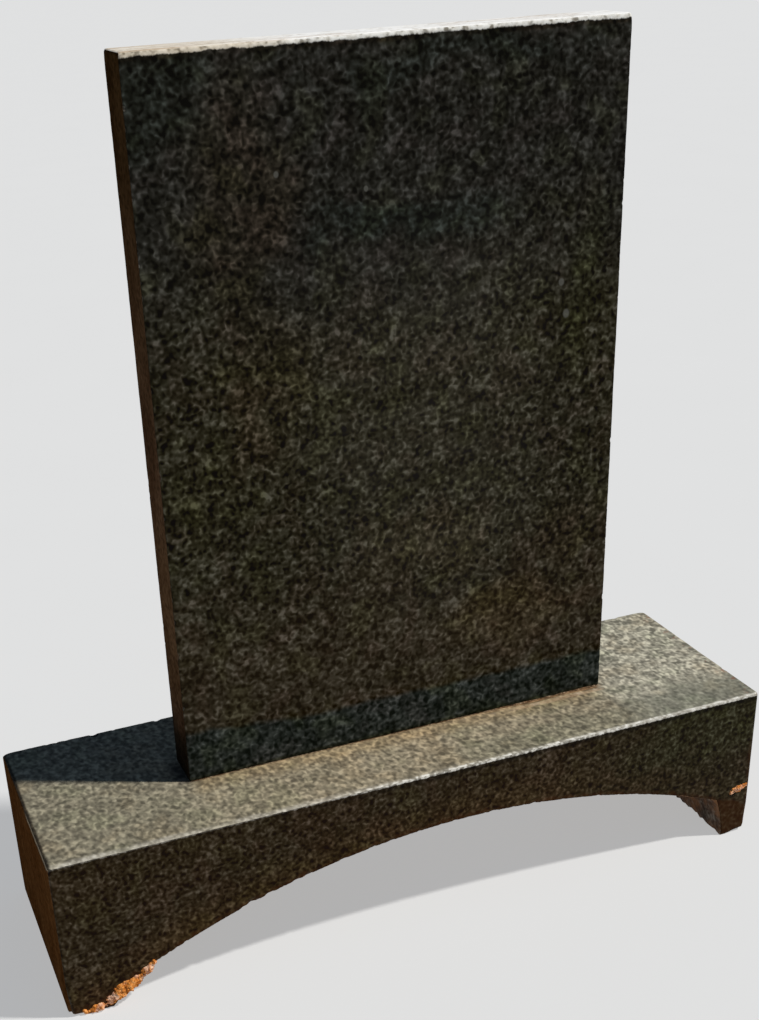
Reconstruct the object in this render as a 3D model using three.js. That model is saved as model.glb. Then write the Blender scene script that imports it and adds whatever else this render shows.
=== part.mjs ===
// A headstone of two granite pieces: an upright polished slab on a wide base block whose underside is a shallow arch.
// Millimetres, +Z up. The front faces -Y and +X is to the right as seen from the front.
// The origin is at the middle of the base's footprint, on the surface that its two feet stand on.

import * as THREE from "three";

// ---------------------------------------------------------------- driving dimensions

const SLAB_W = 600; // upright slab, along X
const SLAB_H = 865; // along Z
const SLAB_T = 60; // along Y
const SLAB_OFFSET_X = 13; // the slab stands a little right of the base's middle
const SLAB_ARRIS = 1.6; // small chamfer round the slab's edges
const JOINT_GAP = 0.3; // bed between the slab and the base

const BASE_W = 994; // base block, along X
const BASE_D = 292; // along Y
const BASE_H = 224; // along Z
const BASE_ARRIS = 2.4; // small chamfer round the base's edges

// the arch under the base, seen from the front: a circular arc with a short steeper flank down to each foot
const ARCH_R = 1014; // radius of the arc
const ARCH_X = 45; // its crown is right of the base's middle
const ARCH_CROWN = 144; // height of the crown
const ARCH_LEFT = -386; // where the arc ends on the left
const ARCH_RIGHT = 444; // where the arc ends on the right
const ARCH_STEPS = 48;
const FOOT_LEFT = -440; // inner edge of the left foot, on the ground
const FOOT_RIGHT = 456; // inner edge of the right foot, on the ground
const FLANK_STEPS = 3;
const FLANK_BULGE = 2.5; // the flanks are slightly hollow

// ---------------------------------------------------------------- helpers

// height of the arc's underside at x
function archHeight(x) {
  const dx = x - ARCH_X;
  return ARCH_CROWN - (ARCH_R - Math.sqrt(ARCH_R * ARCH_R - dx * dx));
}

// points between (x0, z0) and (x1, z1), bowed upwards by `bulge` in the middle, without the two ends
function flank(x0, z0, x1, z1, steps, bulge) {
  const points = [];
  const length = Math.hypot(x1 - x0, z1 - z0);
  let nx = -(z1 - z0) / length;
  let nz = (x1 - x0) / length;
  if (nz < 0) {
    nx = -nx;
    nz = -nz;
  }
  for (let i = 1; i < steps; i++) {
    const t = i / steps;
    const b = bulge * 4 * t * (1 - t);
    points.push([x0 + (x1 - x0) * t + nx * b, z0 + (z1 - z0) * t + nz * b]);
  }
  return points;
}

// The outline in the XZ plane is extruded along Y, with a chamfer of `arris` round its two faces.
function prism(outline, depth, arris) {
  const shape = new THREE.Shape(outline.map(([x, z]) => new THREE.Vector2(x, z)));
  const geometry = new THREE.ExtrudeGeometry(shape, {
    depth: depth - 2 * arris,
    bevelEnabled: true,
    bevelThickness: arris,
    bevelSize: arris,
    bevelOffset: -arris,
    bevelSegments: 1,
    steps: 1,
    curveSegments: 1,
  });
  geometry.translate(0, 0, arris - depth / 2);
  geometry.rotateX(Math.PI / 2); // the outline's second axis becomes +Z and the extrusion runs along Y
  return geometry;
}

function stone(name, geometry, colour, roughness) {
  const material = new THREE.MeshStandardMaterial({ color: colour, roughness, metalness: 0 });
  material.name = name + "_stone";
  const mesh = new THREE.Mesh(geometry, material);
  mesh.name = name;
  return mesh;
}

// ---------------------------------------------------------------- base block

// anticlockwise from the outer corner of the left foot, with the two top corners chamfered
function baseOutline() {
  const half = BASE_W / 2;
  const outline = [[-half, 0]];
  outline.push([FOOT_LEFT, 0]);
  outline.push(...flank(FOOT_LEFT, 0, ARCH_LEFT, archHeight(ARCH_LEFT), FLANK_STEPS, FLANK_BULGE));
  for (let i = 0; i <= ARCH_STEPS; i++) {
    const x = ARCH_LEFT + ((ARCH_RIGHT - ARCH_LEFT) * i) / ARCH_STEPS;
    outline.push([x, archHeight(x)]);
  }
  outline.push(...flank(ARCH_RIGHT, archHeight(ARCH_RIGHT), FOOT_RIGHT, 0, FLANK_STEPS, FLANK_BULGE));
  outline.push([FOOT_RIGHT, 0]);
  outline.push([half, 0]);
  outline.push([half, BASE_H - BASE_ARRIS]);
  outline.push([half - BASE_ARRIS, BASE_H]);
  outline.push([-half + BASE_ARRIS, BASE_H]);
  outline.push([-half, BASE_H - BASE_ARRIS]);
  return outline;
}

const base = stone("base_block", prism(baseOutline(), BASE_D, BASE_ARRIS), 0x4a4740, 0.6);

// ---------------------------------------------------------------- upright slab

// a rectangle with its two top corners chamfered; the foot is square where it beds on the base
function slabOutline() {
  const half = SLAB_W / 2;
  return [
    [-half, 0],
    [half, 0],
    [half, SLAB_H - SLAB_ARRIS],
    [half - SLAB_ARRIS, SLAB_H],
    [-half + SLAB_ARRIS, SLAB_H],
    [-half, SLAB_H - SLAB_ARRIS],
  ];
}

const slab = stone("headstone_slab", prism(slabOutline(), SLAB_T, SLAB_ARRIS), 0x262420, 0.25);
slab.position.set(SLAB_OFFSET_X, 0, BASE_H + JOINT_GAP);

// ---------------------------------------------------------------- the headstone

const headstone = new THREE.Group();
headstone.name = "headstone";
headstone.add(base, slab);

export default headstone;
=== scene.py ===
import itertools
import math

import bpy
import numpy as np
from mathutils import Matrix, Vector
from mathutils.geometry import delaunay_2d_cdt


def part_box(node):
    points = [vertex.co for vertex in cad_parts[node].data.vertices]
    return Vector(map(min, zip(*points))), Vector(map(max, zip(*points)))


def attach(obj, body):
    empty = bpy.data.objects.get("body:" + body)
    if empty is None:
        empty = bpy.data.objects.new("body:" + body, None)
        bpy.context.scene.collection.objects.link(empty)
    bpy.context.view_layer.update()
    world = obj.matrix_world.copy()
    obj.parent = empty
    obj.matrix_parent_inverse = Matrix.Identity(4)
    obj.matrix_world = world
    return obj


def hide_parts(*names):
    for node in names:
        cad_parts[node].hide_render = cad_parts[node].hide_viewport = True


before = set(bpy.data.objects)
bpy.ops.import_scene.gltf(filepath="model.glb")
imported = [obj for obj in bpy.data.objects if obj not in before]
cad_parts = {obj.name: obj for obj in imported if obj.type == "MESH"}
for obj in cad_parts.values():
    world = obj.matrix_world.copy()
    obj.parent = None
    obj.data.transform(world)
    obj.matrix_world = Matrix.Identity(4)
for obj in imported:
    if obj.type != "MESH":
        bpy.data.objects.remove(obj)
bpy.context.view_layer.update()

# ------------------------------------------------------------------ the solids' places and sizes, in metres

BASE_LO, BASE_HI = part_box("base_block")
SLAB_LO, SLAB_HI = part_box("headstone_slab")
sx0, sy0, sz0 = SLAB_LO
sx1, sy1, sz1 = SLAB_HI
bx0, by0, bz0 = BASE_LO
bx1, by1, bz1 = BASE_HI

# the arch under the base, as built
ARCH_R, ARCH_X, ARCH_CROWN = 1.014, 0.045, 0.144
ARCH_LEFT, ARCH_RIGHT = -0.386, 0.444
FOOT_LEFT, FOOT_RIGHT = -0.440, 0.456
FLANK_BULGE = 0.0025

# ------------------------------------------------------------------ camera

cam_data = bpy.data.cameras.new("view_camera")
cam = bpy.data.objects.new("view_camera", cam_data)
bpy.context.scene.collection.objects.link(cam)
cam_data.sensor_fit = "AUTO"
cam_data.sensor_width = 36.0
cam_data.lens = 51.06
cam_data.shift_x = 0.06
cam_data.shift_y = 0.15
cam_data.clip_start, cam_data.clip_end = 0.05, 200.0
right = Vector((0.93118576, -0.36187893, -0.04400827))
up = Vector((0.20332164, 0.41536158, 0.88664258))
back = Vector((-0.30257792, -0.83457678, 0.46035661))
cam.matrix_world = Matrix((
    (right.x, up.x, back.x, -0.66372),
    (right.y, up.y, back.y, -1.57329),
    (right.z, up.z, back.z, 1.20523),
    (0.0, 0.0, 0.0, 1.0),
))
bpy.context.scene.camera = cam

# ------------------------------------------------------------------ noise


def _hash(ix, iy, iz, seed):
    h = (ix.astype(np.int64) * 73856093) ^ (iy.astype(np.int64) * 19349663) ^ (iz.astype(np.int64) * 83492791) ^ (seed * 2654435761)
    h = (h ^ (h >> 13)) & 0xFFFFFFFF
    h = (h * 1274126177) & 0xFFFFFFFF
    h = (h ^ (h >> 16)) & 0xFFFFFFFF
    h = (h * 2246822519) & 0xFFFFFFFF
    return (h ^ (h >> 15)) & 0xFFFFFFFF


def noise3(p, size, seed=0):
    """Smooth value noise in -1..1 at points p, with cells of that size in metres."""
    q = np.asarray(p, float) / size + 1000.0
    i = np.floor(q)
    f = q - i
    f = f * f * f * (f * (f * 6 - 15) + 10)
    ix, iy, iz = i[:, 0], i[:, 1], i[:, 2]
    out = np.zeros(len(q))
    for dx in (0, 1):
        wx = f[:, 0] if dx else 1 - f[:, 0]
        for dy in (0, 1):
            wy = f[:, 1] if dy else 1 - f[:, 1]
            for dz in (0, 1):
                wz = f[:, 2] if dz else 1 - f[:, 2]
                out += wx * wy * wz * (_hash(ix + dx, iy + dy, iz + dz, seed) / 2147483647.5 - 1.0)
    return out


def fbm(p, size, octaves=3, seed=0, gain=0.5):
    total, amp, norm = 0.0, 1.0, 0.0
    for k in range(octaves):
        total = total + amp * noise3(p, size / 2.0**k, seed + 17 * k)
        norm += amp
        amp *= gain
    return total / norm


def smooth(v, a, b):
    """0 below a, 1 above b."""
    t = np.clip((np.asarray(v, float) - a) / (b - a), 0, 1)
    return t * t * (3 - 2 * t)


# ------------------------------------------------------------------ building a stone from patches

EDGE_STEP = 0.0013  # spacing of the points along an edge
RINGS = (  # distance in from the edge, spacing along it
    (0.0007, 1.0), (0.0014, 1.0), (0.0023, 1.2), (0.0034, 1.6), (0.0050, 2.2), (0.0075, 3.4), (0.0115, 5.0), (0.018, 8.0),
)


def samples(length, step=EDGE_STEP):
    return max(1, int(round(length / step)))


def inside_distance(points, loop):
    """Distance of each point to the closed polyline, negative outside it."""
    a = loop
    b = np.roll(loop, -1, axis=0)
    ab = b - a
    best = np.full(len(points), 1e9)
    cross = np.zeros(len(points), int)
    for k in range(len(a)):
        ap = points - a[k]
        t = np.clip((ap @ ab[k]) / max(ab[k] @ ab[k], 1e-18), 0, 1)
        d = ap - t[:, None] * ab[k]
        best = np.minimum(best, np.einsum("ij,ij->i", d, d))
        above = (a[k, 1] > points[:, 1]) != (b[k, 1] > points[:, 1])
        if above.any():
            x = a[k, 0] + (points[:, 1] - a[k, 1]) * ab[k, 0] / (ab[k, 1] if abs(ab[k, 1]) > 1e-15 else 1e-15)
            cross += (above & (points[:, 0] < x)).astype(int)
    d = np.sqrt(best)
    return np.where(cross % 2 == 1, d, -d)


def patch(loop, corners, interior, rng):
    """Triangulates a flat outline. loop: dense boundary points, corners: the same outline with only as many points as its shape needs.
    interior: spacing of the points inside. Returns 2D points (boundary first) and triangles."""
    pts = [loop]
    nxt = np.roll(loop, -1, axis=0) - np.roll(loop, 1, axis=0)
    nrm = np.stack([-nxt[:, 1], nxt[:, 0]], 1)
    nrm /= np.linalg.norm(nrm, axis=1)[:, None]
    for dist, thin in RINGS:
        k = max(1, int(round(thin)))
        ring = loop[::k] + nrm[::k] * dist
        d = inside_distance(ring, corners)
        ring = ring[d > dist * 0.97]
        pts.append(ring)
    lo, hi = loop.min(0), loop.max(0)
    nx, ny = int((hi[0] - lo[0]) / interior) + 1, int((hi[1] - lo[1]) / (interior * 0.866)) + 1
    gx, gy = np.meshgrid(np.arange(nx + 1), np.arange(ny + 1))
    g = np.stack([(gx + 0.5 * (gy % 2)).ravel() * interior, gy.ravel() * interior * 0.866], 1) + lo
    g += rng.uniform(-0.18, 0.18, g.shape) * interior
    d = inside_distance(g, corners)
    pts.append(g[d > RINGS[-1][0] + min(interior, 0.012) * 0.55])
    p = np.concatenate(pts)
    # points of two rings that fall together near a corner are thinned
    key = np.round(p / 0.00035).astype(np.int64)
    _, first = np.unique(key, axis=0, return_index=True)
    keep = np.zeros(len(p), bool)
    keep[first] = True
    keep[: len(loop)] = True
    p = p[keep]
    r = delaunay_2d_cdt([Vector(v) for v in p], [], [list(range(len(loop)))], 1, 1e-9, True)
    verts = np.array([tuple(v) for v in r[0]], float)
    tris = np.array([tuple(f) for f in r[2]], int)
    inside = inside_distance(verts[tris].mean(1), corners) > 1e-7
    return verts, [tuple(f) for f in tris[inside].tolist()]


class Stone:
    """Collects patches and joins their shared edges."""

    def __init__(self):
        self.points, self.index, self.faces, self.kinds = [], {}, [], []

    def add(self, verts3, tris, kind):
        ids = []
        for v in verts3:
            # a point close to a rounding boundary is kept under the keys of both sides
            keys = list(itertools.product(*[sorted({round(c * 5e5 - 0.02), round(c * 5e5 + 0.02)}) for c in v.tolist()]))
            i = next((self.index[k] for k in keys if k in self.index), None)
            if i is None:
                i = len(self.points)
                self.points.append((v[0], v[1], v[2]))
            for k in keys:
                self.index[k] = i
            ids.append(i)
        for t in tris:
            f = [ids[k] for k in t]
            if len(set(f)) == 3:
                self.faces.append(f)
                self.kinds.append(kind)


def rect_loop(u, v, nu, nv):
    """Boundary of the rectangle 0..u by 0..v, anticlockwise, with nu and nv steps."""
    s, t = np.arange(nu) / nu * u, np.arange(nv) / nv * v
    return np.concatenate([
        np.stack([s, 0 * s], 1), np.stack([u + 0 * t, t], 1), np.stack([u - s, v + 0 * s], 1), np.stack([0 * t, v - t], 1),
    ])


def plane_patch(stone, origin, du, dv, u, v, kind, interior, rng):
    """A rectangle with its outward normal along du x dv."""
    loop = rect_loop(u, v, samples(u), samples(v))
    corners = np.array([(0, 0), (u, 0), (u, v), (0, v)], float)
    p, tris = patch(loop, corners, interior, rng)
    xyz = np.asarray(origin, float) + p[:, :1] * np.asarray(du, float) + p[:, 1:] * np.asarray(dv, float)
    stone.add(xyz, tris, kind)


def round_edges(p, coords, dirs, radius):
    """coords[i] is each point's depth under face i, dirs[i] the way in. Where two or more depths are under the radius, the point moves to the fillet."""
    r = radius[:, None]
    c = np.stack(coords, 1)
    near = c < r
    many = near.sum(1) >= 2
    d = np.where(near, c - r, 0.0)
    length = np.linalg.norm(d, axis=1)[:, None]
    new = np.where(near & many[:, None], r + r * d / np.maximum(length, 1e-12), c)
    shift = new - c
    moved = p.copy()
    for i, way in enumerate(dirs):
        moved += shift[:, i : i + 1] * way
    return moved, np.linalg.norm(shift, axis=1)


def edge_radius(base, edges):
    """The rounding radius at each point. edges: [(depth a, depth b, radius)], each pulling its own neighbourhood to its radius."""
    total, weight = base * 1.0, np.ones(len(base))
    for a, b, r in edges:
        w = (0.006 / (np.hypot(a, b) + 0.0008)) ** 4
        total, weight = total + w * r, weight + w
    return total / weight


def chips_on(edge, out_dirs, rng, counts):
    """Spheres that cut an edge. edge: polyline, out_dirs: outward bisector at each of its points.
    counts: [(how many per metre, depth range, radius range)]."""
    seg = np.linalg.norm(np.diff(edge, axis=0), axis=1)
    run = np.concatenate([[0], np.cumsum(seg)])
    total = run[-1]
    found = []
    for per_metre, depth, radius in counts:
        n = rng.poisson(per_metre * total)
        for _ in range(n):
            s = rng.uniform(0, total)
            k = min(int(np.searchsorted(run, s)) - 1, len(edge) - 2)
            k = max(k, 0)
            t = (s - run[k]) / max(seg[k], 1e-9)
            e = edge[k] * (1 - t) + edge[k + 1] * t
            o = out_dirs[k] + rng.normal(0, 0.30, 3)
            o /= np.linalg.norm(o)
            d = depth[0] + (depth[1] - depth[0]) * rng.random() ** 1.8
            R = radius[0] + (radius[1] - radius[0]) * rng.random()
            found.append((e + o * (R - d), R, o))
    return found


def chip_at(point, out, depth, R):
    o = np.asarray(out, float)
    o /= np.linalg.norm(o)
    return (np.asarray(point, float) + o * (R - depth), R, o)


def cut_chips(p, chips, seed):
    """Pushes the points inside each sphere out to its rough surface. Returns the points and how deep each one was cut."""
    depth = np.zeros(len(p))
    order = np.argsort(p[:, 0])
    xs = p[order, 0]
    for k, (c, R, _) in enumerate(chips):
        a, b = np.searchsorted(xs, [c[0] - R, c[0] + R])
        idx = order[a:b]
        q = p[idx]
        v = q - c
        dist = np.linalg.norm(v, axis=1)
        rough = R * (1 + 0.045 * noise3(q, 0.0035, seed + k))
        hit = dist < rough
        if not hit.any():
            continue
        sel = idx[hit]
        push = rough[hit] - dist[hit]
        p[sel] += v[hit] / dist[hit][:, None] * push[:, None]
        depth[sel] += push
    return p, depth


def new_object(name, verts, faces, materials, kinds=None):
    mesh = bpy.data.meshes.new(name)
    mesh.from_pydata([tuple(v) for v in verts], [], faces)
    for m in materials:
        mesh.materials.append(mats[m])
    if kinds is not None:
        mesh.polygons.foreach_set("material_index", np.array([materials.index(k) for k in kinds], np.int32))
    mesh.polygons.foreach_set("use_smooth", np.ones(len(mesh.polygons), bool))
    obj = bpy.data.objects.new(name, mesh)
    bpy.context.scene.collection.objects.link(obj)
    return obj


def stone_object(name, stone, points, wear, materials):
    obj = new_object(name, points, stone.faces, materials, stone.kinds)
    att = obj.data.attributes.new("wear", "FLOAT", "POINT")
    att.data.foreach_set("value", np.clip(wear, 0, 1).astype(np.float32))
    obj.data.update()
    return obj


# ------------------------------------------------------------------ shader helpers


class Nodes:
    def __init__(self, name):
        self.mat = bpy.data.materials.new(name)
        self.mat.use_nodes = True
        self.tree = self.mat.node_tree
        self.tree.nodes.clear()
        self.out = self.tree.nodes.new("ShaderNodeOutputMaterial")
        self.bsdf = self.tree.nodes.new("ShaderNodeBsdfPrincipled")
        self.tree.links.new(self.bsdf.outputs[0], self.out.inputs["Surface"])
        self.coord = self.tree.nodes.new("ShaderNodeTexCoord").outputs["Object"]

    def put(self, socket, value):
        if isinstance(value, bpy.types.NodeSocket):
            self.tree.links.new(value, socket)
        elif isinstance(value, (tuple, list)) and len(value) == 3 and socket.type == "RGBA":
            socket.default_value = (*value, 1.0)
        else:
            socket.default_value = value

    def math(self, op, a, b=0.0):
        n = self.tree.nodes.new("ShaderNodeMath")
        n.operation = op
        self.put(n.inputs[0], a)
        self.put(n.inputs[1], b)
        return n.outputs[0]

    def add(self, a, b):
        return self.math("ADD", a, b)

    def sub(self, a, b):
        return self.math("SUBTRACT", a, b)

    def mul(self, a, b):
        return self.math("MULTIPLY", a, b)

    def around(self, fac, gain, middle=0.5):
        """A noise value centred on 0 and scaled."""
        return self.mul(self.sub(fac, middle), gain)

    def vmath(self, op, a, b=(0, 0, 0), scale=None):
        n = self.tree.nodes.new("ShaderNodeVectorMath")
        n.operation = op
        self.put(n.inputs[0], a)
        if op != "SCALE":
            self.put(n.inputs[1], b)
        if scale is not None:
            self.put(n.inputs["Scale"], scale)
        return n.outputs["Vector"]

    def shifted(self, dx, dy=0.0, dz=0.0):
        return self.vmath("ADD", self.coord, (dx, dy, dz))

    def mix(self, fac, a, b, blend="MIX"):
        n = self.tree.nodes.new("ShaderNodeMix")
        n.data_type = "RGBA"
        n.blend_type = blend
        self.put(n.inputs[0], fac)
        self.put(n.inputs[6], a)
        self.put(n.inputs[7], b)
        return n.outputs[2]

    def tint(self, fac, colour, by):
        """Multiplies the colour by another, as far as fac says."""
        return self.mix(fac, colour, by, "MULTIPLY")

    def mixf(self, fac, a, b):
        n = self.tree.nodes.new("ShaderNodeMix")
        n.data_type = "FLOAT"
        self.put(n.inputs[0], fac)
        self.put(n.inputs[2], a)
        self.put(n.inputs[3], b)
        return n.outputs[0]

    def ramp(self, fac, stops):
        n = self.tree.nodes.new("ShaderNodeValToRGB")
        els = n.color_ramp.elements
        while len(els) > 1:
            els.remove(els[-1])
        els[0].position = stops[0][0]
        els[0].color = (*stops[0][1], 1.0)
        for pos, col in stops[1:]:
            e = els.new(pos)
            e.color = (*col, 1.0)
        self.put(n.inputs[0], fac)
        return n.outputs[0]

    def step(self, v, a, b, lo=0.0, hi=1.0):
        n = self.tree.nodes.new("ShaderNodeMapRange")
        n.interpolation_type = "SMOOTHSTEP"
        n.clamp = True
        self.put(n.inputs["Value"], v)
        n.inputs["From Min"].default_value = a
        n.inputs["From Max"].default_value = b
        n.inputs["To Min"].default_value = lo
        n.inputs["To Max"].default_value = hi
        return n.outputs["Result"]

    def noise(self, vec, scale, detail=2.0, rough=0.5):
        n = self.tree.nodes.new("ShaderNodeTexNoise")
        n.noise_dimensions = "3D"
        self.put(n.inputs["Vector"], vec)
        n.inputs["Scale"].default_value = scale
        n.inputs["Detail"].default_value = detail
        n.inputs["Roughness"].default_value = rough
        return n.outputs["Fac"]

    def noise_vector(self, vec, scale, detail, by):
        """A vector that wanders by about that many metres."""
        n = self.tree.nodes.new("ShaderNodeTexNoise")
        n.noise_dimensions = "3D"
        self.put(n.inputs["Vector"], vec)
        n.inputs["Scale"].default_value = scale
        n.inputs["Detail"].default_value = detail
        return self.vmath("SCALE", self.vmath("SUBTRACT", n.outputs["Color"], (0.5, 0.5, 0.5)), scale=by)

    def cells(self, vec, scale):
        """Distance to the cell's middle and three random numbers of the cell."""
        n = self.tree.nodes.new("ShaderNodeTexVoronoi")
        n.voronoi_dimensions = "3D"
        n.feature = "F1"
        self.put(n.inputs["Vector"], vec)
        n.inputs["Scale"].default_value = scale
        s = self.tree.nodes.new("ShaderNodeSeparateColor")
        self.tree.links.new(n.outputs["Color"], s.inputs[0])
        return n.outputs["Distance"], s.outputs[0], s.outputs[1], s.outputs[2]

    def xyz(self, vec=None):
        n = self.tree.nodes.new("ShaderNodeSeparateXYZ")
        self.put(n.inputs[0], self.coord if vec is None else vec)
        return n.outputs[0], n.outputs[1], n.outputs[2]

    def wear(self, fine, lo, hi, spread=0.5):
        n = self.tree.nodes.new("ShaderNodeAttribute")
        n.attribute_name = "wear"
        return self.step(self.add(n.outputs["Fac"], self.around(fine, spread)), lo, hi)

    def blob(self, x, z, cx, cz, rx, rz, soft=0.5):
        """1 inside an ellipse in the XZ plane, fading out at its rim."""
        dx = self.mul(self.sub(x, cx), 1.0 / rx)
        dz = self.mul(self.sub(z, cz), 1.0 / rz)
        r = self.math("SQRT", self.add(self.mul(dx, dx), self.mul(dz, dz)))
        return self.step(r, 1.0 + soft, 1.0 - soft)

    def bump(self, height, distance, strength=1.0):
        n = self.tree.nodes.new("ShaderNodeBump")
        n.inputs["Strength"].default_value = strength
        n.inputs["Distance"].default_value = distance
        self.put(n.inputs["Height"], height)
        return n.outputs["Normal"]

    def finish(self, colour, rough, normal=None, specular=0.5):
        self.put(self.bsdf.inputs["Base Color"], colour)
        self.put(self.bsdf.inputs["Roughness"], rough)
        self.bsdf.inputs["Specular IOR Level"].default_value = specular
        if normal is not None:
            self.put(self.bsdf.inputs["Normal"], normal)
        return self.mat


def grains(n, size=0.86, flatten=None, broad=0.36, mid=0.56, stroke_by=1.35):
    """The granite's crystals as one brightness value, about 0 to 1 round 0.5: short pale strokes and dark gaps between them."""
    q = n.coord if flatten is None else n.vmath("MULTIPLY", n.coord, flatten)
    p = n.vmath("ADD", q, n.noise_vector(q, 170.0 / size, 0.0, 0.0042 * size))
    na = n.noise(p, 156.0 / size, 0.0)
    stroke = n.math("ABSOLUTE", n.sub(n.noise(n.vmath("ADD", p, (7.1, 2.3, 5.9)), 108.0 / size, 0.0), 0.5))
    nb = n.noise(n.vmath("ADD", q, (3.3, 1.1, 0.4)), 76.0 / size, 0.0)
    nc = n.noise(n.vmath("ADD", q, (1.3, 4.1, 2.4)), 26.0, 1.0, 0.55)
    v = n.add(n.around(na, 1.24), n.add(n.around(nb, mid), n.around(nc, broad)))
    v = n.add(n.sub(v, n.around(stroke, stroke_by, 0.11)), 0.5)
    return {"v": v, "na": na}


# ------------------------------------------------------------------ granite finishes


def linear(c):
    c = max(c, 0.0) / 255.0
    return c / 12.92 if c <= 0.04045 else ((c + 0.055) / 1.055) ** 2.4


# how bright the dark granite's crystals look on a lit face, in screen values, from the darkest to the palest
LOOK = ((0.06, 12.0), (0.19, 19.5), (0.34, 27.0), (0.45, 32.8), (0.55, 38.2), (0.66, 45.5), (0.79, 55.0), (0.91, 66.0), (1.0, 76.0))


def dark_ramp(n, v, lift, hue, spread=1.0, light=0.77, gloss=0.0026):
    """The dark granite's colours: hue is what each channel differs from grey by, in screen values."""
    stops = []
    for at, look in LOOK:
        level = 35.5 + (look - 35.5) * spread + lift
        stops.append((at, tuple(max((linear(level + h) - gloss) / light, 0.0004) for h in hue)))
    return n.ramp(v, stops)


def arris_wear(n, colour, rough, pale, amount=0.85, lo=0.35, hi=0.75):
    """Worn and chipped arrises show paler, rougher stone."""
    fine = n.noise(n.coord, 430.0, 2.0, 0.6)
    worn = n.wear(fine, lo, hi)
    return n.mix(n.mul(worn, amount), colour, pale), n.mixf(worn, rough, 0.7), worn, fine


def tone_patches(n, colour, seed, amount=1.0):
    """Soft olive and purplish patches."""
    a = n.noise(n.shifted(seed, 1.0, 2.0), 24.0, 1.0, 0.5)
    colour = n.tint(n.step(a, 0.54, 0.66, 0.0, amount), colour, (0.99, 1.02, 0.84))
    colour = n.tint(n.step(a, 0.46, 0.34, 0.0, amount), colour, (1.06, 0.98, 1.00))
    return colour


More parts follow.
